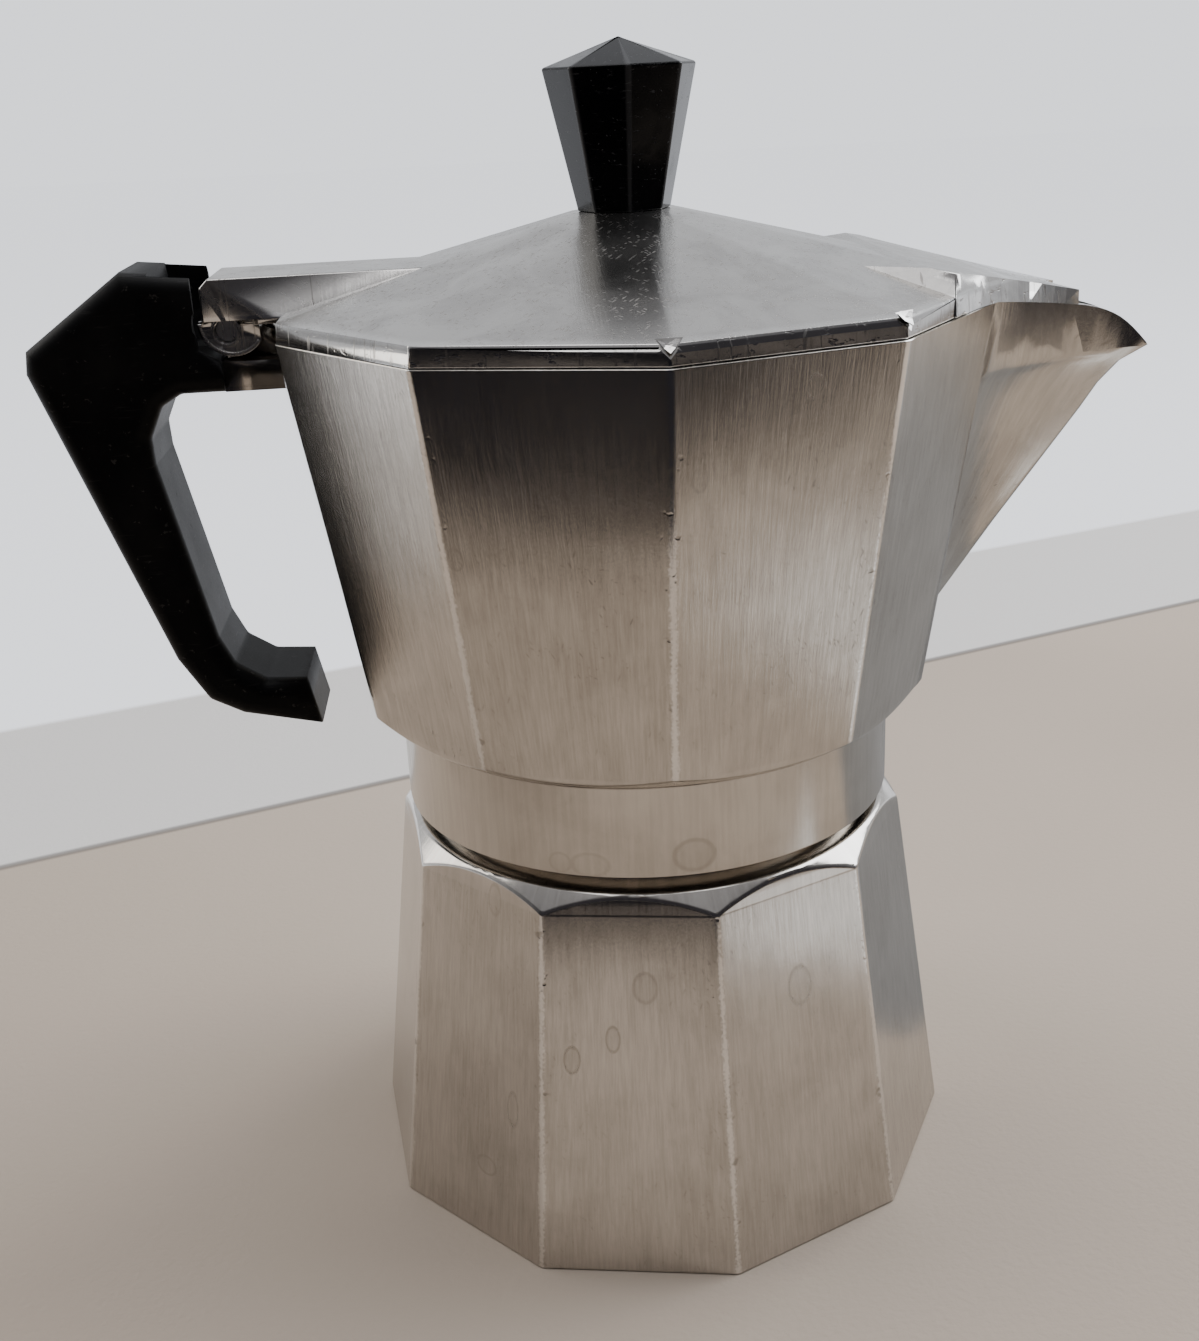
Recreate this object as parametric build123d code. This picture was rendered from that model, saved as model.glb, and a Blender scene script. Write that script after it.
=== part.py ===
"""Stove-top moka pot, about 165 mm tall, in its upright resting pose.

Millimetres. +Z is up, the origin is on the boiler's axis at the surface it stands on,
+X points to the pouring spout and -X to the handle.
"""
from build123d import *
from math import cos, pi, radians, sin, sqrt
import os

os.makedirs("parts", exist_ok=True)

# ---- driving dimensions -------------------------------------------------
sides = 10                        # flats round the boiler, the collector and the lid
boiler_turn = 8.0                 # how far the screwed-down boiler's flats lag the collector's

base_r = 46.0                     # corner radius where the boiler stands
shoulder_r, shoulder_z = 38.7, 54.4
shoulder_top_z = 57.4
floor_t = 3.2
neck_bore_r = 29.6
neck_r = 32.3
thread_h = 0.7
thread_pitch = 3.0
rim_z = 68.0                      # the boiler's rim, on which the funnel hangs

band_r = 36.5                     # turned band under the collector
band_z0, band_z1 = 59.7, 72.8
skirt_bore_r = 33.95
seat_z = 71.0                     # ceiling that the gasket is pressed on

bowl_r0, bowl_z0 = 41.6, 76.1     # collector's corner radius at its foot
bowl_r1, bowl_z1 = 49.8, 130.0    # and at its rim
bowl_wall = 2.6

lid_r = 49.5
lid_edge_z = 132.6
lid_top_z = 143.2
lid_top_r = 7.4
lid_wall = 2.0

pin_x, pin_z = -54.7, 130.7       # lid's hinge
pin_r = 1.5
lug_half = 7.0                    # half the width of the lid's fork
knuckle_half = 3.2
lug_top_z = 137.7
ear_x, ear_z, ear_r = -53.8, 131.9, 4.5

arm_x = -55.6                     # where the collector's arm meets the handle
arm_z0, arm_z1 = 122.8, 126.8
tenon_x, tenon_z0, tenon_half = -66.5, 123.8, 4.0
handle_half = 8.6
handle_round = 2.4                # rounding of the handle's long edges

knob_r0, knob_z0 = 6.4, 143.2
knob_r1, knob_z1 = 10.4, 161.6
knob_tip_z = 165.1

valve_z = 37.0
valve_angle = 108 + boiler_turn   # on a flat at the back, towards the handle
fit = 0.05                        # radial clearance of pins and screws


# ---- helpers -------------------------------------------------------------
def save(shape, name):
    shape.label = name
    export_step(shape, f"parts/{name}.step")


def flats(radius, z, turn=0.0, count=sides):
    """A regular polygon with a flat facing +X, by its corner radius."""
    points = [
        (radius * cos(a), radius * sin(a))
        for a in (radians(turn + 360 / count * (k + 0.5)) for k in range(count))
    ]
    return Plane.XY.offset(z) * make_face(Polyline(*points, close=True))


def tapered(r0, z0, r1, z1, turn=0.0, count=sides):
    return loft([flats(r0, z0, turn, count), flats(r1, z1, turn, count)], ruled=True)


def turned(points):
    """A solid of revolution about Z from its half outline (radius, height)."""
    half = Plane.XZ * make_face(Polyline(*points, close=True))
    return revolve(half, Axis.Z, 360)


def tube(r_out, r_in, z0, z1):
    return turned([(r_in, z0), (r_out, z0), (r_out, z1), (r_in, z1)])


def rod(radius, z0, z1):
    return Pos(0, 0, z0) * Cylinder(radius, z1 - z0, align=(Align.CENTER, Align.CENTER, Align.MIN))


def side_slab(points, half_width):
    """An outline in the XZ plane, given a width either side of it."""
    face = Plane.XZ * make_face(Polyline(*points, close=True))
    return extrude(face, half_width, both=True)


def ring_ridges(r_root, r_crest, z0, count):
    """Thread ridges: trapezoid rings, one pitch apart."""
    ridges = []
    for k in range(count):
        z = z0 + k * thread_pitch
        ridges.append(turned([(r_root, z), (r_crest, z + 0.7), (r_crest, z + 1.3), (r_root, z + 2.0)]))
    return ridges


def holes_disc(radius, spacing, hole_r, z0, z1):
    """Hole cutters on a triangular grid inside a circle."""
    cutters = []
    rows = int(radius / (spacing * sqrt(3) / 2))
    for i in range(-rows, rows + 1):
        y = i * spacing * sqrt(3) / 2
        shift = spacing / 2 if i % 2 else 0.0
        columns = int(radius / spacing) + 1
        for j in range(-columns, columns + 1):
            x = j * spacing + shift
            if sqrt(x * x + y * y) <= radius:
                cutters.append(Pos(x, y, 0) * rod(hole_r, z0, z1))
    return cutters


# ---- boiler and its safety valve -----------------------------------------
boiler_slope = (base_r - shoulder_r) / shoulder_z
flat_ratio = cos(pi / sides)


def boiler_corner(z):
    return base_r - boiler_slope * z


def valve_place(shape):
    """From the valve's own frame (axis +X, at height 0) to its flat on the boiler."""
    return Rot(0, 0, valve_angle) * Pos(0, 0, valve_z) * shape


valve_flat_x = boiler_corner(valve_z) * flat_ratio
pad_x = valve_flat_x + 0.9
valve_hole_r = 4.0


def along_x(radius, x0, x1):
    return Rot(0, 90, 0) * rod(radius, x0, x1)


def make_boiler():
    top = shoulder_top_z
    body = tapered(base_r, 0, boiler_corner(top), top, boiler_turn)
    shoulder = turned([
        (0, -1), (60, -1), (60, shoulder_z - 26.0), (shoulder_r, shoulder_z),
        (36.3, 57.0), (35.8, top), (0, top),
    ])
    body = body & shoulder
    body += rod(neck_r, top - 1, rim_z)
    for ridge in ring_ridges(neck_r - 0.2, neck_r + thread_h, top + 1.6, 3):
        body += ridge
    foot = base_r * flat_ratio - 3.4
    high = boiler_corner(50.0) * flat_ratio - 3.2
    body -= turned([
        (0, floor_t), (foot - 3.0, floor_t), (foot, floor_t + 3.0), (high, 50.0),
        (neck_bore_r, 55.5), (neck_bore_r, rim_z + 1), (0, rim_z + 1),
    ])
    body -= tube(32.5, 31.0, -1, 0.5)
    body += valve_place(along_x(7.4, valve_flat_x - 3.0, pad_x))
    body -= valve_place(along_x(valve_hole_r, valve_flat_x - 8.0, pad_x + 1))
    return body


valve_inner_x = valve_flat_x - 6.0
valve_head_x = pad_x + 0.6
valve_face_x = valve_head_x + 3.2
valve_bore_r = 2.4
disc_x = valve_inner_x + 1.4
disc_t = 1.2
bush_x = valve_face_x - 1.9


def make_valve_body():
    hexagon = RegularPolygon(6.2, 6)
    head = Rot(0, 90, 0) * Pos(0, 0, valve_head_x) * extrude(hexagon, valve_face_x - valve_head_x)
    body = head + along_x(valve_hole_r - fit, valve_inner_x, valve_head_x + 0.1)
    body -= along_x(valve_bore_r, disc_x, valve_face_x + 1)
    body -= along_x(1.2, valve_inner_x - 1, disc_x + 0.1)
    return valve_place(body)


def make_valve_washer():
    ring = along_x(6.4, pad_x, valve_head_x) - along_x(valve_hole_r + 0.1, pad_x - 1, valve_head_x + 1)
    return valve_place(ring)


def make_valve_stem():
    stem = along_x(2.1, disc_x, disc_x + disc_t) + along_x(0.7, disc_x + 0.1, valve_face_x + 1.2)
    return valve_place(stem)


def make_valve_spring():
    gap = 0.02
    wire_r = 0.28
    start = disc_x + disc_t + wire_r + gap
    length = bush_x - start - wire_r - gap
    coil = Helix(pitch=length / 5, height=length, radius=1.6)
    section = Plane(origin=coil @ 0, z_dir=coil % 0) * Circle(wire_r)
    spring = sweep(section, path=coil, is_frenet=True)
    return valve_place(Pos(start, 0, 0) * (Rot(0, 90, 0) * spring))


def make_valve_bush():
    bush = along_x(valve_bore_r, bush_x, valve_face_x - 0.3) - along_x(0.7 + fit, bush_x - 1, valve_face_x)
    return valve_place(bush)


# ---- funnel ----------------------------------------------------------------
basket_r = 29.3
sheet = 0.7
basket_floor_z = 46.5
cone_z = 38.5
tube_r = 4.6
tube_foot_z = 7.0


def make_funnel_basket():
    r, s = basket_r, sheet
    return turned([
        (tube_r, cone_z), (tube_r, cone_z - 2.2), (tube_r + s, cone_z - 2.2), (tube_r + s, cone_z - 0.5),
        (r - 2.5, basket_floor_z - 0.9), (r - 2.5, basket_floor_z), (r, basket_floor_z + 0.6),
        (r, rim_z), (32.2, rim_z), (32.2, rim_z + s), (r - s, rim_z + s),
        (r - s, basket_floor_z + 1.0), (r - 2.5 - s, basket_floor_z + 0.4),
        (r - 2.5 - s, basket_floor_z - 0.4),
    ])


def make_funnel_tube():
    body = tube(tube_r - 0.03, tube_r - 0.9, tube_foot_z, cone_z)
    notch = Pos(0, 0, tube_foot_z) * Box(3.0, 12.0, 5.0)
    return body - notch


def make_funnel_screen():
    z0 = basket_floor_z + 1.05
    disc = rod(basket_r - sheet - 0.15, z0, z0 + 0.8)
    return disc - holes_disc(basket_r - 5.0, 3.6, 0.7, z0 - 1, z0 + 2)


# ---- gasket and filter plate ---------------------------------------------------
gasket_ir = 25.6


def make_gasket():
    return tube(32.4, gasket_ir, rim_z + sheet + 0.02, seat_z - 0.02)


def make_filter_plate():
    r = gasket_ir - 0.15
    top = seat_z - 0.02
    plate = turned([
        (0, top - 1.5), (21.0, top - 1.5), (22.4, top - 0.8), (r, top - 0.8), (r, top),
        (22.0, top), (20.6, top - 0.8), (0, top - 0.8),
    ])
    return plate - holes_disc(19.0, 3.3, 0.7, top - 3, top + 1)


# ---- collector -------------------------------------------------------------------
bowl_slope = (bowl_r1 - bowl_r0) / (bowl_z1 - bowl_z0)
spout_tip = (74.6, 120.6)
outlet_z, outlet_w, outlet_h = 110.5, 4.6, 6.2     # slot through the top of the column
spout_levels = [78.0, 96.0, 112.0, 115.6, 118.6, 120.6, 132.0]
keel_x = [39.9, 53.4, 65.4, 67.9, 70.9, 74.9, 76.5]


def bowl_corner(z):
    return bowl_r0 + bowl_slope * (z - bowl_z0)


def root_half(z):
    """Half the spout's width where it leaves the bowl: the whole flat at the foot, wider above."""
    return 12.0 + 16.4 * ((z - 78.0) / 54.0) ** 0.9


def root_x(z, half):
    """Where the flats beside the spout have a given half width."""
    flat = bowl_corner(z) * flat_ratio
    turn = 2 * pi / sides
    return min(flat, (flat - half * sin(turn)) / cos(turn))


def spout_section(k, wall):
    """Level outline of the spout: concave sides from the bowl's flats to a narrow keel."""
    z = spout_levels[k]
    half = root_half(z) - wall * 1.25
    x0 = root_x(z, half) - (0.8 if wall == 0 else 3.4)
    nose = max(keel_x[k] - wall * 1.5, x0 + 1.5)
    nose_half = 1.5 if wall == 0 else 0.7
    mid = (x0 + 0.58 * (nose - x0), nose_half + 0.16 * (half - nose_half) + (0.4 if wall == 0 else 0.0))
    upper = Spline((x0, half), mid, (nose - 0.6 * nose_half, nose_half))
    lower = Spline((nose - 0.6 * nose_half, -nose_half), (mid[0], -mid[1]), (x0, -half))
    tip = ThreePointArc((nose - 0.6 * nose_half, nose_half), (nose, 0), (nose - 0.6 * nose_half, -nose_half))
    back = Polyline((x0, -half), (12, -half * 0.5), (12, half * 0.5), (x0, half))
    return Plane.XY.offset(z) * make_face([upper, tip, lower, back])


def spout_trim():
    """All that lies above the spout's rim line and beyond its beak."""
    edge = [
        Line((47.6, bowl_z1), (60.0, 127.9)),
        Spline((60.0, 127.9), (69.5, 125.2), spout_tip, tangents=[(14.0, -2.1), (0.72, -0.78)]),
        Line(spout_tip, (90, 118.0)),
        Line((90, 118.0), (90, 150)),
        Line((90, 150), (0, 150)),
        Line((0, 150), (0, bowl_z1)),
        Line((0, bowl_z1), (47.6, bowl_z1)),
    ]
    return extrude(Plane.XZ * make_face(edge), 60, both=True)


def make_collector():
    bowl = tapered(bowl_corner(band_z1), band_z1, bowl_r1, bowl_z1)
    foot = turned([
        (0, band_z1), (band_r, band_z1), (bowl_r0 + 1.2, bowl_z0 + 0.9), (90, bowl_z0 + 22.0),
        (90, 200), (0, 200),
    ])
    body = bowl & foot
    spout = loft([spout_section(k, 0) for k in range(7)], ruled=True) & foot
    body += spout - spout_trim()
    body += rod(band_r, band_z0, band_z1 + 1)

    inner_r0 = bowl_corner(79.0) - bowl_wall - 1.0
    hollow = tapered(inner_r0, 77.5, bowl_r1 - bowl_wall - 0.4, bowl_z1 + 0.01)
    channel = loft([spout_section(k, bowl_wall - 0.3) for k in range(1, 7)], ruled=True)
    hollow += channel - Pos(0, 0, 60) * Box(200, 200, 78)
    hill = turned([
        (0, 60), (27.0, 60), (27.0, 77.0), (7.2, 86.0), (6.4, 88.0), (5.4, 116.0), (4.4, 117.5), (0, 117.5),
    ])
    hollow -= hill
    body -= hollow

    body -= turned([
        (0, seat_z), (22.6, seat_z), (4.2, 83.0), (3.3, 86.0), (3.3, 114.8), (0, 114.8),
    ])
    body -= Pos(0, 0, outlet_z) * Box(outlet_w, 30, outlet_h)
    body -= rod(skirt_bore_r, band_z0 - 1, seat_z)
    for ridge in ring_ridges(skirt_bore_r + 0.2, skirt_bore_r - 0.6, band_z0 + 1.0, 3):
        body += ridge

    arm = side_slab([(-40.0, arm_z0), (arm_x, arm_z0), (arm_x, arm_z1), (-40.0, arm_z1)], lug_half)
    tenon = side_slab(
        [(-54.0, tenon_z0), (tenon_x, tenon_z0), (tenon_x, arm_z1), (-54.0, arm_z1)],
        tenon_half,
    )
    knuckle = Pos(pin_x, 0, pin_z) * (Rot(90, 0, 0) * Cylinder(3.6, 2 * knuckle_half))
    web = side_slab(
        [(arm_x + 0.1, 125.0), (-44.0, 125.0), (-44.0, 129.2), (-47.6, 129.6), (pin_x, 133.2)],
        knuckle_half,
    )
    hinge_part = arm + tenon + knuckle + web
    keep_out = tapered(inner_r0, 77.5, bowl_r1 - bowl_wall - 0.4, bowl_z1 + 5)
    body += hinge_part - keep_out
    body -= Pos(pin_x, 0, pin_z) * (Rot(90, 0, 0) * Cylinder(pin_r + fit, 30))
    body -= across_y(cross_r + fit, -20, 20)
    return body


# ---- handle ------------------------------------------------------------------------
cross_x, cross_z, cross_r = -62.0, 125.3, 0.7      # blind pin that holds the handle to the arm
cross_y0, cross_y1 = -5.5, 8.4
slot_half = lug_half + 0.3


def across_y(radius, y0, y1):
    """A rod on the handle pin's line, from one Y to another."""
    return Pos(cross_x, y0, cross_z) * (Rot(-90, 0, 0) * rod(radius, 0, y1 - y0))


def make_handle():
    outline = Polyline(
        (-50.0, arm_z0), (-50.0, 137.5), (-67.6, 139.2),
        (-81.2, 129.6), (-81.6, 126.6), (-67.4, 85.0), (-63.6, 78.6), (-59.0, 76.1), (-47.9, 73.6),
        (-49.4, 80.8), (-55.2, 81.2), (-59.2, 83.8), (-61.1, 87.9), (-66.3, 113.4), (-66.4, 117.0),
        (-64.4, 121.2), (-61.6, arm_z0), close=True,
    )
    face = make_face(outline)
    bends = face.vertices().filter_by(lambda v: -66.6 < v.X < -55.0)
    face = fillet(bends, 1.6)
    body = extrude(Plane.XZ * face, handle_half, both=True)
    body = fillet(body.faces().filter_by(Axis.Y).edges(), handle_round)
    front = arm_x - 0.05
    body -= side_slab(
        [(-40, 100), (front, 100), (front, 127.0), (-58.4, 128.6), (-58.4, 150), (-40, 150)],
        20,
    )
    sweep_room = Pos(pin_x, 0, pin_z) * (Rot(90, 0, 0) * Cylinder(8.5, 2 * slot_half))
    sweep_room += side_slab([(-50, pin_z), (-63.2, pin_z), (-64.6, 145), (-50, 145)], slot_half)
    sweep_room &= Pos(-60, 0, arm_z1 + 0.15 + 12) * Box(40, 40, 24)
    body -= sweep_room
    body -= Pos(ear_x, 0, ear_z) * (Rot(90, 0, 0) * Cylinder(ear_r + 0.4, 40))
    body -= side_slab([
        (-50, tenon_z0 - fit), (tenon_x - fit, tenon_z0 - fit),
        (tenon_x - fit, arm_z1 + fit), (-50, arm_z1 + fit),
    ], tenon_half + fit)
    return body - across_y(cross_r + fit, cross_y0 - 0.1, 20)


def make_handle_pin():
    return across_y(cross_r, cross_y0, cross_y1)


def make_hinge_pin():
    return Pos(pin_x, 0, pin_z) * (Rot(90, 0, 0) * Cylinder(pin_r - 0.02, 2 * lug_half - 4.4))


# ---- lid ------------------------------------------------------------------------------
cover_tip_x = 62.4


def cover_section(z, root_out, tip_out):
    upper = Spline((38.6, 27.4 + root_out), (50.5, 13.0 + 0.7 * root_out), (cover_tip_x, 5.0 + tip_out))
    lower = Spline((cover_tip_x, -5.0 - tip_out), (50.5, -13.0 - 0.7 * root_out), (38.6, -27.4 - root_out))
    notch = Spline((cover_tip_x, 5.0 + tip_out), (59.6, 0), (cover_tip_x, -5.0 - tip_out))
    back = Polyline((38.6, -27.4 - root_out), (10, -3), (10, 3), (38.6, 27.4 + root_out))
    return Plane.XY.offset(z) * make_face([upper, notch, lower, back])


lid_slope = (lid_top_z - lid_edge_z) / ((lid_r - lid_top_r) * flat_ratio)


def roof_above(drop):
    """All above the cover's top plane, or above a plane a given depth below it."""
    x_edge = lid_r * flat_ratio
    rise = lid_slope * 0.92
    z_edge = lid_edge_z + 0.7 - drop
    points = [(0, z_edge + rise * x_edge), (90, z_edge - rise * (90 - x_edge)), (90, 160), (0, 160)]
    return side_slab(points, 60)


def make_lid():
    flange = tapered(lid_r, bowl_z1 + 0.06, lid_r - 0.2, lid_edge_z)
    roof = tapered(lid_r - 0.2, lid_edge_z, lid_top_r, lid_top_z)
    cover = loft([cover_section(126.0, 1.2, 0.6), cover_section(136.0, -1.6, -0.4)], ruled=True)
    cover -= roof_above(0)
    under = loft([cover_section(126.0, -1.6, -1.9), cover_section(136.0, -4.2, -2.6)], ruled=True)
    under -= roof_above(lid_wall)
    body = flange + roof + cover
    hollow = tapered(lid_r - 2.6, bowl_z1 - 2, lid_r - 2.8, lid_edge_z - lid_wall + 1.0)
    hollow += tapered(lid_r - 2.8, lid_edge_z - lid_wall + 1.0, lid_top_r + 0.6, lid_top_z - lid_wall)
    body -= hollow
    body -= under
    rim_line = [
        (-10, 100), (90, 100), (90, 123.0), (60.0, 128.0), (47.6, bowl_z1 + 0.08), (-10, bowl_z1 + 0.08),
    ]
    body -= side_slab(rim_line, 60)

    lug = side_slab([
        (-57.5, 132.2), (-57.5, lug_top_z - 1.2), (-56.3, lug_top_z), (-26.0, lug_top_z), (-26.0, 136.0),
        (-40.0, 133.0), (-46.0, bowl_z1 + 1.5), (-50.2, bowl_z1 + 1.5), (-50.2, 132.2),
    ], lug_half)
    ears = Pos(ear_x, 0, ear_z) * (Rot(90, 0, 0) * Cylinder(ear_r, 2 * lug_half - 1.4))
    ears &= Pos(-54, 0, 127.2) * Box(20, 40, 10.1)
    ears -= Pos(-48.2, 0, 127) * Box(4, 40, 10)
    lug += ears
    lug -= Pos(pin_x, 0, pin_z) * (Rot(90, 0, 0) * Cylinder(pin_r + fit, 30))
    gap = knuckle_half + 0.2
    lug -= Pos(pin_x - 2.0, 0, pin_z) * Box(16.5, 2 * gap, 11.2)
    lug -= tapered(lid_r - 2.6, 120, lid_r - 2.8, lid_edge_z - 1.0)
    lug -= tapered(lid_r - 2.8, lid_edge_z - 1.0, lid_top_r + 0.6, lid_top_z - lid_wall)
    body += lug
    body -= rod(2.2, 130, 150)
    return body


def make_knob():
    body = tapered(knob_r0, knob_z0 + 0.02, knob_r1, knob_z1, 24.0, 8)
    body += tapered(knob_r1, knob_z1, 0.05, knob_tip_z, 24.0, 8)
    return body - rod(3.45, knob_z0 - 1, 152.4)


def make_knob_insert():
    return tube(3.4, 2.05, knob_z0 + 0.1, 152.2)


def make_knob_screw():
    z = lid_top_z - lid_wall - 0.9
    screw = rod(2.0, z - 0.1, 151.0) + rod(3.6, z - 2.0, z)
    return screw - Pos(0, 0, z - 2.0) * Box(1.0, 8, 1.6)


def make_knob_washer():
    z = lid_top_z - lid_wall - 0.88
    return tube(5.2, 2.15, z, z + 0.85)


# ---- write every piece -------------------------------------------------------------------
save(make_boiler(), "boiler")
save(make_valve_body(), "safety_valve_body")
save(make_valve_washer(), "safety_valve_washer")
save(make_valve_stem(), "safety_valve_stem")
save(make_valve_spring(), "safety_valve_spring")
save(make_valve_bush(), "safety_valve_bush")
save(make_funnel_basket(), "funnel_basket")
save(make_funnel_tube(), "funnel_tube")
save(make_funnel_screen(), "funnel_screen")
save(make_gasket(), "gasket")
save(make_filter_plate(), "filter_plate")
save(make_collector(), "collector")
save(make_handle(), "handle")
save(make_handle_pin(), "handle_pin")
save(make_hinge_pin(), "hinge_pin")
save(make_lid(), "lid")
save(make_knob(), "knob")
save(make_knob_insert(), "knob_insert")
save(make_knob_screw(), "knob_screw")
save(make_knob_washer(), "knob_washer")
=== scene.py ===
from math import atan2, cos, pi, radians, sin

import bmesh
import bpy
from mathutils import Matrix, Vector


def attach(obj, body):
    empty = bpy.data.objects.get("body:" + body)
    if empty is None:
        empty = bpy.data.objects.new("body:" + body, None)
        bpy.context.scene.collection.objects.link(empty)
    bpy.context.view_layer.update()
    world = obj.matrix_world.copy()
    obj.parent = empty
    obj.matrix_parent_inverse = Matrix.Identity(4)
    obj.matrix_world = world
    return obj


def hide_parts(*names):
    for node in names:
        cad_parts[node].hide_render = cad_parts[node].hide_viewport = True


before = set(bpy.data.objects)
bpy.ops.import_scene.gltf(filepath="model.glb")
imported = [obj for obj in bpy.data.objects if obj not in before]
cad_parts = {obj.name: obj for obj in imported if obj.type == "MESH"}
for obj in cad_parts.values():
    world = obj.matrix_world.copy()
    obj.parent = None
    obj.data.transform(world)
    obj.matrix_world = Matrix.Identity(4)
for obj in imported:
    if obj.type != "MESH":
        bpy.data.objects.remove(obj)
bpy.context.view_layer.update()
print("frame loaded:", len(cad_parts), "nodes")

mm = 0.001


# shader maths: a socket that can be used in plain expressions
class shaderValue:
    def __init__(self, tree, socket):
        self.tree = tree
        self.socket = socket

    def maths(self, operation, *items):
        made = self.tree.node("ShaderNodeMath", {"operation": operation}, dict(enumerate(items)))
        return shaderValue(self.tree, made.outputs[0])

    def __add__(self, other):
        return self.maths("ADD", self, other)

    def __radd__(self, other):
        return self.maths("ADD", other, self)

    def __sub__(self, other):
        return self.maths("SUBTRACT", self, other)

    def __rsub__(self, other):
        return self.maths("SUBTRACT", other, self)

    def __mul__(self, other):
        return self.maths("MULTIPLY", self, other)

    def __rmul__(self, other):
        return self.maths("MULTIPLY", other, self)

    def __truediv__(self, other):
        return self.maths("DIVIDE", self, other)

    def __abs__(self):
        return self.maths("ABSOLUTE", self)

    def __pow__(self, other):
        return self.maths("POWER", self, other)

    def above(self, low, high):
        # 0 under low, 1 over high, smooth in between
        made = self.tree.node("ShaderNodeMapRange", {"interpolation_type": "SMOOTHSTEP"},
                              {"Value": self, "From Min": low, "From Max": high})
        return shaderValue(self.tree, made.outputs[0])

    def below(self, low, high):
        return 1 - self.above(low, high)

    def most(self, other):
        return self.maths("MAXIMUM", self, other)


class shaderTree:
    def __init__(self, nodeTree):
        self.nodes = nodeTree.nodes
        self.links = nodeTree.links
        self.nodes.clear()

    def node(self, kind, settings=None, values=None):
        made = self.nodes.new(kind)
        for key, item in (settings or {}).items():
            if key == "stops":
                ramp = made.color_ramp
                while len(ramp.elements) < len(item):
                    ramp.elements.new(0.5)
                for element, (place, colour) in zip(ramp.elements, item):
                    element.position = place
                    element.color = colour
            else:
                setattr(made, key, item)
        for key, item in (values or {}).items():
            self.feed(made.inputs[key], item)
        return made

    def feed(self, socket, item):
        if isinstance(item, shaderValue):
            self.links.new(item.socket, socket)
        elif isinstance(item, bpy.types.NodeSocket):
            self.links.new(item, socket)
        else:
            socket.default_value = item

    def value(self, kind, settings=None, values=None, output=0):
        return shaderValue(self, self.node(kind, settings, values).outputs[output])

    def place(self):
        # the piece's own coordinates, in metres
        return self.node("ShaderNodeTexCoord").outputs["Object"]

    def stretched(self, place, scale, turn=(0, 0, 0)):
        return self.node("ShaderNodeMapping", {"vector_type": "POINT"},
                         {"Vector": place, "Scale": scale, "Rotation": turn}).outputs[0]

    def noise(self, place, scale, detail=3.0, rough=0.55, warp=0.0):
        return self.value("ShaderNodeTexNoise", None,
                          {"Vector": place, "Scale": scale, "Detail": detail, "Roughness": rough,
                           "Distortion": warp})

    def mix(self, factor, first, second):
        made = self.node("ShaderNodeMix", {"data_type": "RGBA"}, {0: factor, 6: first, 7: second})
        return made.outputs[2]

    def finish(self, shader):
        out = self.node("ShaderNodeOutputMaterial")
        self.links.new(shader.outputs[0], out.inputs["Surface"])


def colour(red, green, blue):
    return (red, green, blue, 1.0)


def newFinish(name):
    made = bpy.data.materials.new(name)
    made.use_nodes = True
    return made, shaderTree(made.node_tree)


# patterns shared by the metal finishes
def unrolled(tree, place, radius):
    # (distance round the pot, height) so that marks lie in the surface
    split = tree.node("ShaderNodeSeparateXYZ", None, {0: place})
    x, y, z = (shaderValue(tree, split.outputs[i]) for i in range(3))
    angle = y.maths("ARCTAN2", y, x)
    flat = tree.node("ShaderNodeCombineXYZ", None, {0: angle * radius, 1: z, 2: 0.0}).outputs[0]
    return angle, z, flat


def cornerGap(tree, angle, sides, turn, width):
    # distance from the nearest corner of a many-sided body
    phase = angle * (sides / (2 * pi)) - (turn * sides / 360 + 0.5)
    return abs(phase - phase.maths("ROUND", phase)) * width


fleckLook = {"raggedness": 0.30, "core": 0.10, "rim": 0.26, "softness": 0.10}


def flecks(tree, flat, size, long, lean, chance, seed):
    # short casting marks that lie one way
    shift = (seed * mm, seed * 0.7 * mm, 0)
    along = tree.node("ShaderNodeMapping", {"vector_type": "TEXTURE"},
                      {"Vector": flat, "Location": shift, "Rotation": (0, 0, lean),
                       "Scale": (1, long, 1)}).outputs[0]
    cells = tree.node("ShaderNodeTexVoronoi", {"feature": "F1", "voronoi_dimensions": "2D"},
                      {"Vector": along, "Scale": 1 / size, "Randomness": 1.0})
    split = tree.node("ShaderNodeSeparateColor", None, {0: cells.outputs["Color"]})
    pick = shaderValue(tree, split.outputs[0])
    ragged = (tree.noise(along, 3.0 / size, 2.0, 0.6) - 0.5) * fleckLook["raggedness"]
    near = shaderValue(tree, cells.outputs["Distance"]) + ragged
    chosen = pick.above(1 - chance, 1 - chance + fleckLook["softness"])
    return near.below(fleckLook["core"], fleckLook["rim"]) * chosen


def fleckSets(tree, flat, sets):
    # size, length, lean, chance and seed of each set
    total = None
    for one in sets:
        marks = flecks(tree, flat, *one)
        total = marks if total is None else total.most(marks)
    return total


def stainRings(tree, u, z, spots):
    # faint oval drying marks: (round, height, half width, half height, strength)
    total = None
    for round0, height, halfWide, halfHigh, strength in spots:
        du = (u - round0) / halfWide
        dz = (z - height) / halfHigh
        far = (du * du + dz * dz) ** 0.5
        ring = (far.above(0.72, 0.92) * far.below(0.98, 1.12) + far.below(0.7, 1.0) * 0.3) * strength
        total = ring if total is None else total.most(ring)
    return total


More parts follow.
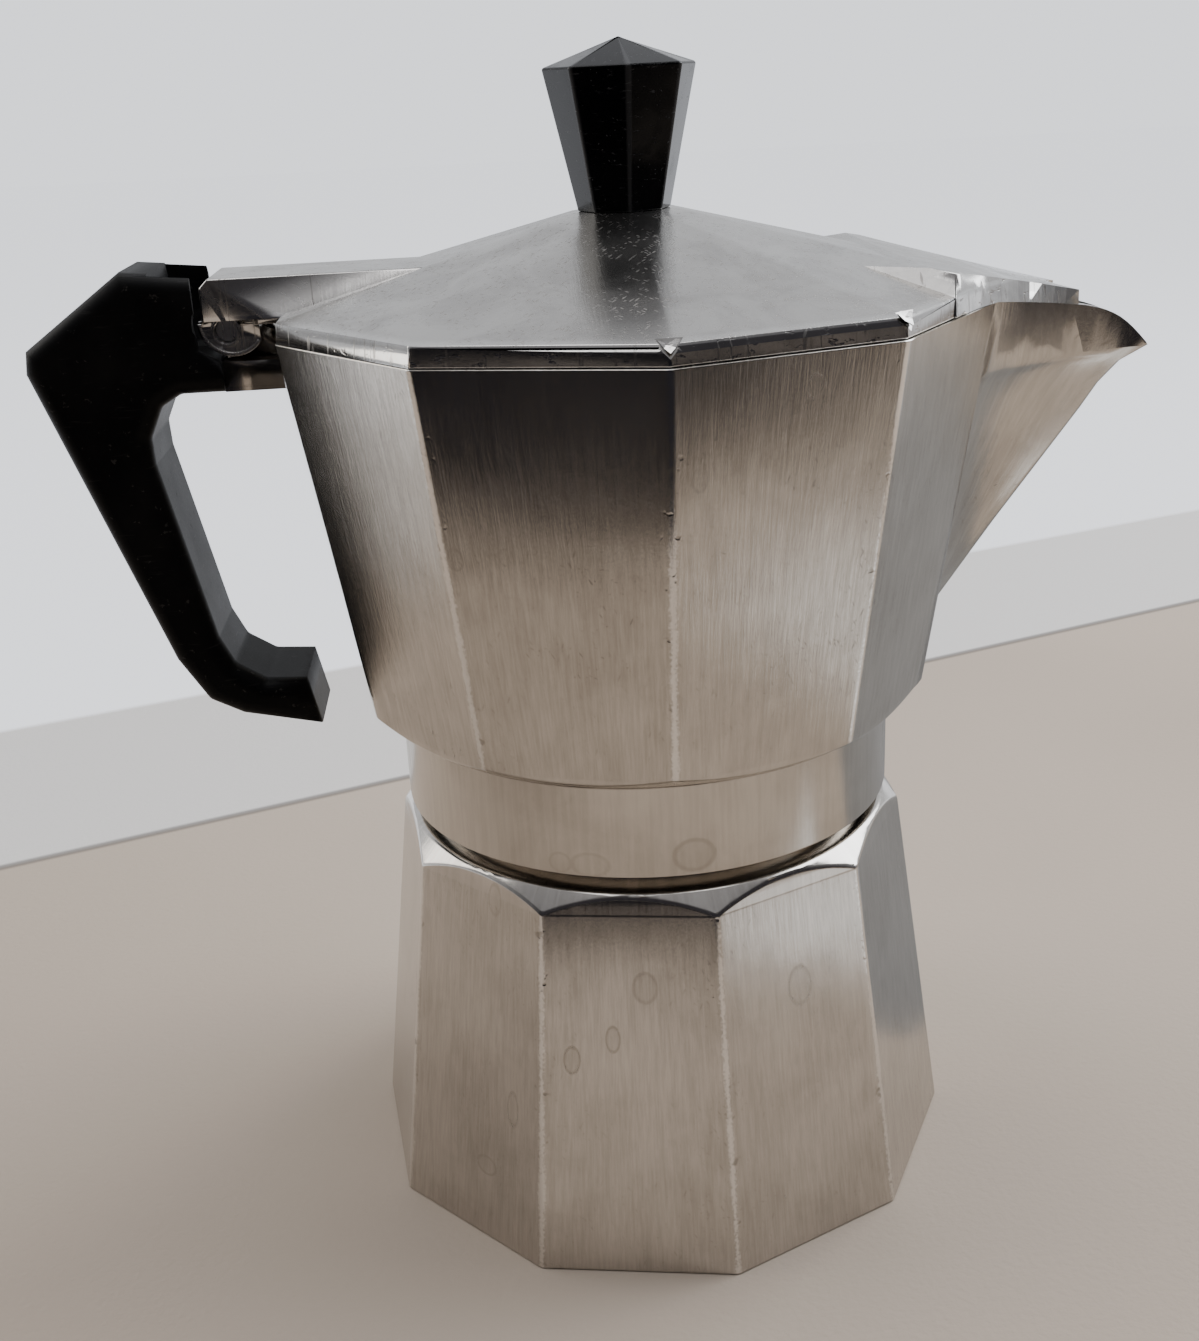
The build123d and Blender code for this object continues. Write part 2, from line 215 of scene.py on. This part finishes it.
castLook = {
    "bright": colour(0.92, 0.91, 0.89),
    "stain": colour(0.36, 0.33, 0.29),
    "pit": colour(0.13, 0.11, 0.09),
    "rough": 0.19,
    "fineBrush": (2600, 160, 1),
    "broadBrush": (900, 60, 1),
    "cloudScale": 70.0,
    "patchScale": 24.0,
    "grainScale": 2600.0,
    "nickScale": 420.0,
    "bump": 0.42,
    "bumpDepth": 0.00006,
    "flecks": [(0.00050, 4.2, 0.55, 0.11, 3.1), (0.00060, 4.6, -0.40, 0.10, 7.7),
               (0.00045, 3.0, 1.15, 0.09, 12.3), (0.00055, 1.4, -1.2, 0.10, 21.9)],
}

# stains: distance round, height, half width, half height, strength
collectorLook = {
    "tone": colour(0.61, 0.575, 0.525), "dull": colour(0.41, 0.38, 0.34),
    "sides": 10, "turn": 0.0, "radius": 0.0455, "faceWidth": 0.0285,
    "smoothFrom": 0.0597, "smoothTo": 0.0755, "brush": 1.0, "dark": 0.42,
    "stains": [(-0.0680, 0.0628, 0.0036, 0.0024, 0.8), (-0.0856, 0.0616, 0.0034, 0.0018, 0.5),
               (-0.0909, 0.0616, 0.0020, 0.0015, 0.5), (-0.0540, 0.1260, 0.0012, 0.0016, 0.6),
               (-0.0682, 0.1165, 0.0010, 0.0016, 0.5), (-0.0986, 0.1063, 0.0010, 0.0015, 0.5)],
}
boilerLook = {
    "tone": colour(0.63, 0.60, 0.56), "dull": colour(0.44, 0.415, 0.38),
    "sides": 10, "turn": 8.0, "radius": 0.0425, "faceWidth": 0.0265,
    "smoothFrom": 0.0544, "smoothTo": 0.0700, "brush": 0.8, "dark": 0.26,
    "stains": [(-0.0832, 0.0329, 0.0012, 0.0021, 0.9), (-0.0771, 0.0361, 0.0011, 0.0020, 0.8),
               (-0.0720, 0.0438, 0.0019, 0.0023, 0.5), (-0.0930, 0.0229, 0.0011, 0.0028, 0.7),
               (-0.0982, 0.0117, 0.0020, 0.0015, 0.6), (-0.0973, 0.0537, 0.0014, 0.0024, 0.6),
               (-0.0470, 0.0401, 0.0022, 0.0030, 0.8)],
}


def castMetal(name, look):
    made, tree = newFinish(name)
    place = tree.place()
    angle, z, flat = unrolled(tree, place, look["radius"])
    u = angle * look["radius"]
    corner = cornerGap(tree, angle, look["sides"], look["turn"], look["faceWidth"])
    fine = tree.noise(tree.stretched(flat, castLook["fineBrush"], (0, 0, 0.02)), 1.0, 5.0, 0.7)
    broad = tree.noise(tree.stretched(flat, castLook["broadBrush"]), 1.0, 3.0, 0.6)
    cloud = tree.noise(place, castLook["cloudScale"], 4.0, 0.6, 0.4)
    patch = tree.noise(place, castLook["patchScale"], 2.0, 0.5)
    grain = tree.noise(place, castLook["grainScale"], 2.0, 0.5)
    marks = fleckSets(tree, flat, castLook["flecks"])
    marks = marks * (0.15 + cloud.above(0.42, 0.60) * 0.85)
    # the turned collar or shoulder has hardly any casting marks
    smoothFrom, smoothTo, fade = look["smoothFrom"], look["smoothTo"], 0.0004
    smooth = z.above(smoothFrom - fade, smoothFrom) * z.below(smoothTo, smoothTo + fade)
    marks = marks * (1 - smooth * 0.75)
    onFlat = 1 - smooth
    worn = (corner + (grain - 0.5) * 0.0011 + (cloud - 0.5) * 0.0012).below(0.0001, 0.0006) * onFlat
    nicks = tree.noise(place, castLook["nickScale"], 2.0, 0.7).above(0.64, 0.72)
    nicks = nicks * corner.below(0.0006, 0.0016) * onFlat
    rings = stainRings(tree, u, z, look["stains"])
    streak = fine.above(0.36, 0.64) * 0.34 * onFlat + broad.above(0.35, 0.65) * 0.26
    base = tree.mix(cloud.above(0.32, 0.68) * 0.45 + streak, look["tone"], look["dull"])
    base = tree.mix(rings * 0.6, base, castLook["stain"])
    base = tree.mix(worn * 0.6, base, castLook["bright"])
    base = tree.mix((marks * look["dark"]).most(nicks * 0.45), base, castLook["pit"])
    rough = (castLook["rough"] - smooth * 0.02 + (patch - 0.5) * 0.16 + (fine - 0.5) * 0.14
             + marks * 0.06 + rings * 0.10 - worn * 0.06)
    height = ((fine * look["brush"] + broad * 0.5) * (1 - smooth * 0.8) + grain * 0.10
              - marks * 0.05 - nicks * 0.9)
    bump = tree.node("ShaderNodeBump", None,
                     {"Strength": castLook["bump"], "Distance": castLook["bumpDepth"], "Height": height})
    shader = tree.node("ShaderNodeBsdfPrincipled", None,
                       {"Base Color": base, "Metallic": 1.0, "Roughness": rough, "Normal": bump.outputs[0]})
    tree.finish(shader)
    return made


lidLook = {
    "tone": colour(0.60, 0.585, 0.56), "dull": colour(0.40, 0.385, 0.37), "rough": 0.24, "radius": 0.049,
    "flangeFrom": 0.1298, "edgeHeight": 0.1326, "edgeRadius": 0.044,
    "flecks": [(0.00050, 3.4, 0.6, 0.24, 5.2), (0.00060, 3.8, -0.7, 0.22, 9.4),
               (0.00048, 2.2, 1.9, 0.22, 15.8)],
}


def lidMetal():
    look = lidLook
    made, tree = newFinish("lidAluminium")
    place = tree.place()
    z, flat = unrolled(tree, place, look["radius"])[1:]
    split = tree.node("ShaderNodeSeparateXYZ", None, {0: place})
    x, y = (shaderValue(tree, split.outputs[i]) for i in range(2))
    above = tree.node("ShaderNodeCombineXYZ", None, {0: x, 1: y, 2: 0.0}).outputs[0]
    far = (x * x + y * y) ** 0.5
    cloud = tree.noise(place, 95.0, 5.0, 0.65, 0.5)
    patch = tree.noise(place, 30.0, 2.0, 0.5)
    grain = tree.noise(place, 2400.0, 2.0, 0.5)
    scuff = tree.noise(tree.stretched(above, (2600, 150, 1), (0, 0, 0.5)), 1.0, 4.0, 0.65)
    marks = fleckSets(tree, above, look["flecks"]) * cloud.above(0.32, 0.55)
    low, high, fade = look["flangeFrom"], look["edgeHeight"], 0.0002
    flange = z.above(low, low + fade) * z.below(high, high + fade)
    # a thin bright line painted along the top edge of the flange: a painted highlight
    edge = abs(z - high).below(0.0001, 0.0005) * far.above(look["edgeRadius"], look["edgeRadius"] + 0.0005)
    nicks = tree.noise(tree.stretched(flat, (380, 900, 1)), 1.0, 3.0, 0.7).above(0.60, 0.68) * flange
    base = tree.mix(cloud.above(0.35, 0.68) * 0.7, look["tone"], look["dull"])
    base = tree.mix(edge * 0.35, base, castLook["bright"])
    base = tree.mix((marks * 0.45).most(nicks * 0.35), base, castLook["pit"])
    rough = look["rough"] + (patch - 0.5) * 0.20 + (cloud - 0.5) * 0.16 + marks * 0.22 - flange * 0.09
    height = scuff * 0.5 + grain * 0.14 - marks * 0.25 - nicks * 0.9 + cloud * 0.8
    bump = tree.node("ShaderNodeBump", None, {"Strength": 0.4, "Distance": 0.00005, "Height": height})
    shader = tree.node("ShaderNodeBsdfPrincipled", None,
                       {"Base Color": base, "Metallic": 1.0, "Roughness": rough, "Normal": bump.outputs[0]})
    tree.finish(shader)
    return made


plainLook = {"brush": (3000, 3000, 150), "cloudScale": 160.0, "speckScale": 1100.0}


def plainMetal(name, tone, dull, rough):
    # turned or pressed small metal parts
    made, tree = newFinish(name)
    place = tree.place()
    turned = tree.noise(tree.stretched(place, plainLook["brush"]), 1.0, 3.0, 0.6)
    cloud = tree.noise(place, plainLook["cloudScale"], 3.0, 0.6)
    specks = tree.noise(place, plainLook["speckScale"], 2.0, 0.6).above(0.64, 0.72)
    base = tree.mix(cloud.above(0.4, 0.7), tone, dull)
    base = tree.mix(specks * 0.4, base, castLook["pit"])
    bump = tree.node("ShaderNodeBump", None,
                     {"Strength": 0.4, "Distance": 0.00004, "Height": turned - specks})
    shader = tree.node("ShaderNodeBsdfPrincipled", None,
                       {"Base Color": base, "Metallic": 1.0,
                        "Roughness": rough + (turned - 0.5) * 0.2 + specks * 0.2,
                        "Normal": bump.outputs[0]})
    tree.finish(shader)
    return made


rubberLook = {"tone": colour(0.62, 0.57, 0.48), "dull": colour(0.42, 0.36, 0.28), "rough": 0.55}


def rubber():
    look = rubberLook
    made, tree = newFinish("sealRubber")
    place = tree.place()
    cloud = tree.noise(place, 220.0, 4.0, 0.6)
    grain = tree.noise(place, 3000.0, 2.0, 0.5)
    base = tree.mix(cloud.above(0.35, 0.7), look["tone"], look["dull"])
    bump = tree.node("ShaderNodeBump", None, {"Strength": 0.3, "Distance": 0.00005, "Height": grain})
    shader = tree.node("ShaderNodeBsdfPrincipled", None,
                       {"Base Color": base, "Roughness": look["rough"] + (cloud - 0.5) * 0.2,
                        "Normal": bump.outputs[0]})
    tree.finish(shader)
    return made


# the rubbed tone gives random lighter patches and also the painted top sheen
phenolicLook = {
    "tone": colour(0.003, 0.003, 0.0035), "rubbedAndTopSheen": colour(0.014, 0.0137, 0.0133),
    "dust": colour(0.12, 0.115, 0.11), "rough": 0.45, "shine": 0.10,
}


def blackPhenolic():
    look = phenolicLook
    made, tree = newFinish("blackPhenolic")
    place = tree.place()
    cloud = tree.noise(place, 60.0, 3.0, 0.6)
    grain = tree.noise(place, 2800.0, 3.0, 0.6)
    dust = tree.noise(place, 900.0, 2.0, 0.7).above(0.66, 0.72)
    hair = tree.noise(tree.stretched(place, (260, 260, 3000), (0.0, 0.6, 0.0)), 1.0, 3.0, 0.6)
    hair = hair.above(0.62, 0.70)
    # faces that point up are painted lighter: a painted top sheen from the light above, added to the random
    # cloudy tone
    geometry = tree.node("ShaderNodeNewGeometry")
    split = tree.node("ShaderNodeSeparateXYZ", None, {0: geometry.outputs["Normal"]})
    up = shaderValue(tree, split.outputs[2])
    base = tree.mix(cloud.above(0.4, 0.75) * 0.5 + up.above(0.6, 0.95) * 0.35, look["tone"], look["rubbedAndTopSheen"])
    base = tree.mix(dust * 0.22 + hair * 0.08, base, look["dust"])
    rough = look["rough"] + (cloud - 0.5) * 0.22 + (grain - 0.5) * 0.10 + dust * 0.15
    height = grain * 0.6 + dust * 0.6 - hair * 0.4
    bump = tree.node("ShaderNodeBump", None, {"Strength": 0.35, "Distance": 0.00004, "Height": height})
    shader = tree.node("ShaderNodeBsdfPrincipled", None,
                       {"Base Color": base, "Roughness": rough, "Specular IOR Level": look["shine"],
                        "Normal": bump.outputs[0]})
    tree.finish(shader)
    return made


glossLook = {
    "tone": colour(0.002, 0.002, 0.0025), "dust": colour(0.13, 0.13, 0.135), "rough": 0.10, "shine": 0.16,
    "sides": 8, "turn": 24.0, "faceWidth": 0.0068, "radius": 0.009,
}


def blackGloss():
    look = glossLook
    made, tree = newFinish("blackGloss")
    place = tree.place()
    angle = unrolled(tree, place, look["radius"])[0]
    cloud = tree.noise(place, 190.0, 4.0, 0.65, 0.6)
    scuff = tree.noise(tree.stretched(place, (700, 700, 2600), (0.5, 0.3, 0.0)), 1.0, 4.0, 0.7)
    scuff = scuff.above(0.60, 0.72)
    dust = tree.noise(place, 1500.0, 2.0, 0.7).above(0.68, 0.74)
    # the eight corner lines are made lighter grey, mixed in with the dust and scuffs
    edge = cornerGap(tree, angle, look["sides"], look["turn"], look["faceWidth"]).below(0.0001, 0.0005)
    base = tree.mix(dust * 0.4 + scuff * 0.3 + edge * 0.25, look["tone"], look["dust"])
    rough = look["rough"] + cloud.above(0.4, 0.7) * 0.16 + scuff * 0.25 + dust * 0.2
    bump = tree.node("ShaderNodeBump", None,
                     {"Strength": 0.25, "Distance": 0.00003, "Height": dust * 0.8 - scuff * 0.6})
    shader = tree.node("ShaderNodeBsdfPrincipled", None,
                       {"Base Color": base, "Roughness": rough, "Specular IOR Level": look["shine"],
                        "Normal": bump.outputs[0]})
    tree.finish(shader)
    return made


finishes = {
    "collector": castMetal("castAluminiumCollector", collectorLook),
    "boiler": castMetal("castAluminiumBoiler", boilerLook),
    "lid": lidMetal(),
    "pressed": plainMetal("pressedAluminium", colour(0.74, 0.73, 0.71), colour(0.56, 0.55, 0.53), 0.30),
    "brass": plainMetal("brass", colour(0.68, 0.49, 0.20), colour(0.44, 0.30, 0.12), 0.26),
    "copper": plainMetal("copperWasher", colour(0.70, 0.38, 0.25), colour(0.46, 0.24, 0.15), 0.34),
    "steel": plainMetal("springSteel", colour(0.58, 0.57, 0.56), colour(0.40, 0.39, 0.38), 0.28),
    "rubber": rubber(),
    "phenolic": blackPhenolic(),
    "gloss": blackGloss(),
}
print("finishes made:", len(finishes))


# rounded copies of the cast and moulded bodies
roundLook = {"joinWithin": 0.002, "flatWithin": 0.6, "segments": 3}


def edgePoints(edge):
    first, last = (corner.co for corner in edge.verts)
    return first, (first + last) / 2, last


def roundedCopy(nodeName, pieceName, finish, edgeSets, sharpAt, body):
    shell = bmesh.new()
    shell.from_mesh(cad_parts[nodeName].data)
    bmesh.ops.remove_doubles(shell, verts=shell.verts, dist=roundLook["joinWithin"] * mm)
    bmesh.ops.dissolve_limit(shell, angle_limit=radians(roundLook["flatWithin"]), verts=shell.verts,
                             edges=shell.edges)
    for width, least, where in edgeSets:
        edges = [edge for edge in shell.edges
                 if len(edge.link_faces) == 2 and edge.is_convex
                 and edge.calc_face_angle() > radians(least)
                 and all(where(point / mm) for point in edgePoints(edge))]
        print(" ", pieceName, "edges rounded:", len(edges))
        bmesh.ops.bevel(shell, geom=edges, offset=width * mm, offset_type="OFFSET",
                        segments=roundLook["segments"], profile=0.5, affect="EDGES",
                        clamp_overlap=False, material=-1)
    bmesh.ops.triangulate(shell, faces=[face for face in shell.faces if len(face.verts) > 4])
    mesh = bpy.data.meshes.new(pieceName)
    shell.to_mesh(mesh)
    shell.free()
    mesh.shade_smooth()
    mesh.set_sharp_from_angle(angle=radians(sharpAt))
    mesh.materials.clear()
    mesh.materials.append(finish)
    made = bpy.data.objects.new(pieceName, mesh)
    bpy.context.scene.collection.objects.link(made)
    even = made.modifiers.new("evenNormals", "WEIGHTED_NORMAL")
    even.keep_sharp = True
    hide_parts(nodeName)
    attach(made, body)
    return made


def across(point):
    return (point.x ** 2 + point.y ** 2) ** 0.5


def onCorner(point, turn=0.0):
    # within a quarter of a millimetre of one of the ten upright corner lines
    sides, reach = 10, 0.25
    share = (atan2(point.y, point.x) * sides / (2 * pi) - turn * sides / 360 - 0.5) % 1.0
    return min(share, 1 - share) * (2 * pi / sides) * across(point) < reach


# each set: width in mm, least angle in degrees, and where, in mm
collectorEdges = [
    (0.55, 14, lambda p: onCorner(p) and 75.0 < p.z < 130.2 and across(p) > 41.0 and p.x < 42.0),
    (0.22, 40, lambda p: p.z > 129.8 and across(p) > 43.0 and p.x < 40.0),
    (0.35, 14, lambda p: p.z < 81.0 and across(p) > 36.0 and p.x < 38.0),
]
boilerEdges = [
    (0.45, 14, lambda p: onCorner(p, 8.0) and p.z < 54.6),
    (0.40, 14, lambda p: p.z > 49.0 and 35.5 < across(p) and p.z < 57.6),
    (0.40, 40, lambda p: p.z < 0.1 and across(p) > 42.0),
]
lidEdges = [
    (0.25, 30, lambda p: across(p) > 46.5 and p.z < 133.0 and -46.5 < p.x < 40.0),
    (0.25, 30, lambda p: p.x < -56.0 or (p.z > 137.0 and p.x < -27.0)),
    (0.9, 5, lambda p: p.z > 132.4 and across(p) > 7.0 and onCorner(p) and -38.0 < p.x < 38.0),
]
knobEdges = [(0.28, 12, lambda p: p.z > 143.1 and across(p) > 3.6 or p.z > 153)]

# node, piece, finish, edges, sharp from this angle, material slot, body
for nodeName, pieceName, finishName, edgeSets, sharpAt, slotName, bodyName in (
        ("collector", "collectorShell", "collector", collectorEdges, 24, "cast_aluminium", "collector_body"),
        ("boiler", "boilerShell", "boiler", boilerEdges, 24, "cast_aluminium", "boiler_body"),
        ("lid", "lidShell", "lid", lidEdges, 34, "lid_aluminium", "lid_body"),
        ("handle", "handleGrip", "phenolic", [], 55, "black_phenolic", "collector_body"),
        ("knob", "knobGrip", "gloss", knobEdges, 34, "black_gloss", "lid_body")):
    roundedCopy(nodeName, pieceName, finishes[finishName], edgeSets, sharpAt, bodyName)
print("bodies rounded")

# raised rims on the lid's hinge ears
earLook = {
    "centre": (-53.8, 131.9), "outer": 4.5, "inner": 3.95, "face": 6.28, "proud": 0.34, "round": 0.10,
    "start": 180.0, "sweep": -143.0,
    "pin": (-54.7, 130.7), "pinInner": 1.62, "pinOuter": 2.05, "pinProud": 0.12, "pinRound": 0.04,
}


def spunRim(name, centre, inner, outer, low, high, start, sweep, round):
    ring = bmesh.new()
    corners = [(inner, low), (outer, low), (outer, high), (inner, high)]
    verts = [ring.verts.new(((centre[0] + reach * cos(radians(start))) * mm, y * mm,
                             (centre[1] + reach * sin(radians(start))) * mm)) for reach, y in corners]
    edges = [ring.edges.new((verts[i], verts[(i + 1) % 4])) for i in range(4)]
    whole = abs(sweep) >= 360
    faces = [] if whole else [ring.faces.new(verts)]
    bmesh.ops.spin(ring, geom=verts + edges + faces, cent=(centre[0] * mm, 0, centre[1] * mm),
                   axis=(0, 1, 0), angle=radians(sweep), steps=max(12, int(abs(sweep) / 6)),
                   use_merge=whole, use_duplicate=False)
    bmesh.ops.remove_doubles(ring, verts=ring.verts, dist=0.001 * mm)
    bmesh.ops.recalc_face_normals(ring, faces=ring.faces)
    sharp = [edge for edge in ring.edges
             if len(edge.link_faces) == 2 and edge.calc_face_angle() > radians(50)]
    bmesh.ops.bevel(ring, geom=sharp, offset=round * mm, offset_type="OFFSET", segments=3, profile=0.5,
                    affect="EDGES", clamp_overlap=True, material=-1)
    mesh = bpy.data.meshes.new(name)
    ring.to_mesh(mesh)
    ring.free()
    mesh.shade_smooth()
    mesh.set_sharp_from_angle(angle=radians(40))
    mesh.materials.append(finishes["lid"])
    made = bpy.data.objects.new(name, mesh)
    bpy.context.scene.collection.objects.link(made)
    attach(made, "lid_body")
    return made


for sideName, side in (("Near", -1), ("Far", 1)):
    face = side * earLook["face"]
    spunRim("earRim" + sideName, earLook["centre"], earLook["inner"], earLook["outer"], face,
            face + side * earLook["proud"], earLook["start"], earLook["sweep"], earLook["round"])
    spunRim("pinRim" + sideName, earLook["pin"], earLook["pinInner"], earLook["pinOuter"], face,
            face + side * earLook["pinProud"], 0.0, 360.0, earLook["pinRound"])
print("hinge rims made")

nodeFinishes = {
    "collector": "collector", "boiler": "boiler", "lid": "lid", "handle": "phenolic", "knob": "gloss",
    "safety_valve_body": "brass", "safety_valve_bush": "brass", "safety_valve_stem": "brass",
    "safety_valve_washer": "copper", "safety_valve_spring": "steel", "handle_pin": "steel",
    "hinge_pin": "steel", "knob_screw": "steel", "knob_washer": "steel", "knob_insert": "brass",
    "funnel_basket": "pressed", "funnel_tube": "pressed", "funnel_screen": "pressed",
    "filter_plate": "pressed", "gasket": "rubber",
}
for nodeName, finishName in nodeFinishes.items():
    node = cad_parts[nodeName]
    node.data.materials.clear()
    node.data.materials.append(finishes[finishName])
print("every node has its finish")


# floor, backdrop and light
stageLook = {
    "floorSize": 3.0,
    "floorTone": colour(0.48, 0.405, 0.335),
    "floorDull": colour(0.44, 0.37, 0.305),
    "wallTone": colour(1.38, 1.42, 1.50),
    "wallBase": colour(0.2, 0.2, 0.21),
    "wallGlow": 0.9,
    "wallFrom": 0.237,
    "wallSlope": 0.343,
    "ledgeFrom": 0.151,
    "ledgeSlope": 0.367,
    "ledgeTone": colour(0.66, 0.64, 0.62),
    "seamTone": colour(0.12, 0.11, 0.10),
}


def stagePlane(name, corners, finish):
    sheet = bmesh.new()
    sheet.faces.new([sheet.verts.new(corner) for corner in corners])
    mesh = bpy.data.meshes.new(name)
    sheet.to_mesh(mesh)
    sheet.free()
    mesh.materials.append(finish)
    made = bpy.data.objects.new(name, mesh)
    bpy.context.scene.collection.objects.link(made)
    return made


def clothFinish():
    made, tree = newFinish("paleCloth")
    place = tree.place()
    weave = tree.noise(tree.stretched(place, (900, 900, 900)), 1.0, 2.0, 0.5)
    cloud = tree.noise(place, 6.0, 2.0, 0.5)
    split = tree.node("ShaderNodeSeparateXYZ", None, {0: place})
    x, y = (shaderValue(tree, split.outputs[i]) for i in range(2))
    wallFrom = stageLook["wallFrom"]
    beyond = (y - x * stageLook["wallSlope"]).above(wallFrom, wallFrom + 0.004)
    base = tree.mix(cloud.above(0.3, 0.7), stageLook["floorTone"], stageLook["floorDull"])
    pastEdge = y - x * stageLook["ledgeSlope"] - stageLook["ledgeFrom"]
    seam = abs(pastEdge - 0.001).below(0.0006, 0.0022)
    base = tree.mix(pastEdge.above(0.0, 0.002), base, stageLook["ledgeTone"])
    base = tree.mix(seam * 0.7, base, stageLook["seamTone"])
    base = tree.mix(beyond, base, stageLook["wallBase"])
    glow = tree.mix(beyond, colour(0, 0, 0), stageLook["wallTone"])
    bump = tree.node("ShaderNodeBump", None, {"Strength": 0.35, "Distance": 0.0003, "Height": weave})
    shader = tree.node("ShaderNodeBsdfPrincipled", None,
                       {"Base Color": base, "Roughness": 0.9, "Specular IOR Level": 0.1,
                        "Emission Color": glow, "Emission Strength": stageLook["wallGlow"],
                        "Normal": bump.outputs[0]})
    tree.finish(shader)
    return made


def plainFinish(name, tone):
    made, tree = newFinish(name)
    shader = tree.node("ShaderNodeBsdfPrincipled", None,
                       {"Base Color": tone, "Roughness": 0.95, "Specular IOR Level": 0.05})
    tree.finish(shader)
    return made


half = stageLook["floorSize"]
stagePlane("floor", [(-half, -half, 0), (half, -half, 0), (half, half, 0), (-half, half, 0)], clothFinish())

# name, place, aim, size, power, colour
lampLook = [
    ("windowLight", (0.70, 0.25, 0.60), (0.10, 0, 0.04), 0.7, 9.0, (0.93, 0.96, 1.0)),
    ("sideLight", (-0.80, 0.25, 0.50), (0, 0, 0.06), 0.6, 3.0, (1.0, 0.96, 0.90)),
    ("topLight", (0.0, 0.05, 1.1), (0, 0, 0.06), 0.8, 5.5, (0.98, 0.98, 1.0)),
]


def areaLight(name, place, aim, size, power, tone):
    lamp = bpy.data.lights.new(name, "AREA")
    lamp.shape = "RECTANGLE"
    lamp.size = lamp.size_y = size
    lamp.energy = power
    lamp.color = tone
    made = bpy.data.objects.new(name, lamp)
    bpy.context.scene.collection.objects.link(made)
    made.location = place
    made.rotation_euler = (Vector(aim) - Vector(place)).to_track_quat("-Z", "Y").to_euler()


for lampValues in lampLook:
    areaLight(*lampValues)

roomLook = {"back": colour(0.80, 0.82, 0.86), "front": colour(0.05, 0.048, 0.055),
            "top": colour(0.45, 0.45, 0.47)}


def makeWorld():
    world = bpy.data.worlds.new("paleRoom")
    world.use_nodes = True
    tree = shaderTree(world.node_tree)
    direction = tree.node("ShaderNodeTexCoord").outputs["Generated"]
    split = tree.node("ShaderNodeSeparateXYZ", None, {0: direction})
    toBack, up = (shaderValue(tree, split.outputs[i]) for i in (1, 2))
    room = tree.mix(toBack.below(-0.45, 0.35), roomLook["back"], roomLook["front"])
    room = tree.mix(up.above(0.45, 0.9), room, roomLook["top"])
    seen = tree.node("ShaderNodeLightPath").outputs["Is Camera Ray"]
    shown = tree.mix(seen, room, stageLook["wallTone"])
    background = tree.node("ShaderNodeBackground", None, {"Color": shown, "Strength": 1.0})
    output = tree.node("ShaderNodeOutputWorld")
    tree.links.new(background.outputs[0], output.inputs[0])
    bpy.context.scene.world = world


makeWorld()

# cloths beside the pot, seen only in the metal
cardLook = {
    "darkCard": {"lift": 2.0, "tone": colour(0.010, 0.010, 0.014), "outline": [
        (-1600, -1600), (1300, -1600), (1300, 110), (470, 110), (470, -280), (300, -225), (236, -186),
        (190, -198), (110, -205), (-40, -205), (-95, -186), (-160, -170), (-300, -170), (-1600, -170)]},
    "dimCard": {"lift": 1.5, "tone": colour(0.23, 0.225, 0.22), "outline": [
        (60, 0), (200, 0), (440, 120), (440, 330), (180, 330), (60, 120)]},
    "paleCard": {"lift": 1.5, "tone": colour(0.95, 0.93, 0.90), "outline": [
        (122, -140), (205, -140), (205, -52), (122, -52)]},
}
for cardName, look in cardLook.items():
    card = stagePlane(cardName, [(x * mm, y * mm, look["lift"] * mm) for x, y in look["outline"]],
                      plainFinish(cardName + "Cloth", look["tone"]))
    for flag in ("visible_camera", "visible_diffuse", "visible_shadow", "visible_transmission"):
        setattr(card, flag, False)
print("floor and lights placed")

# camera
cameraLook = {"place": (-19.74, -222.31, 161.27), "azimuth": -93.4, "elevation": 20.93, "roll": -2.83,
              "lens": 28.14, "sensor": 24.0}
azimuth, elevation = radians(cameraLook["azimuth"]), radians(cameraLook["elevation"])
back = Vector((cos(azimuth) * cos(elevation), sin(azimuth) * cos(elevation), sin(elevation)))
lens = bpy.data.cameras.new("camera")
lens.sensor_fit = "VERTICAL"
lens.sensor_height = cameraLook["sensor"]
lens.lens = cameraLook["lens"]
lens.clip_start = 0.01
camera = bpy.data.objects.new("camera", lens)
bpy.context.scene.collection.objects.link(camera)
turnMatrix = (-back).to_track_quat("-Z", "Y").to_matrix()
turnMatrix = turnMatrix @ Matrix.Rotation(radians(cameraLook["roll"]), 3, "Z")
camera.matrix_world = Matrix.Translation(Vector(cameraLook["place"]) * mm) @ turnMatrix.to_4x4()
bpy.context.scene.camera = camera
print("camera placed")
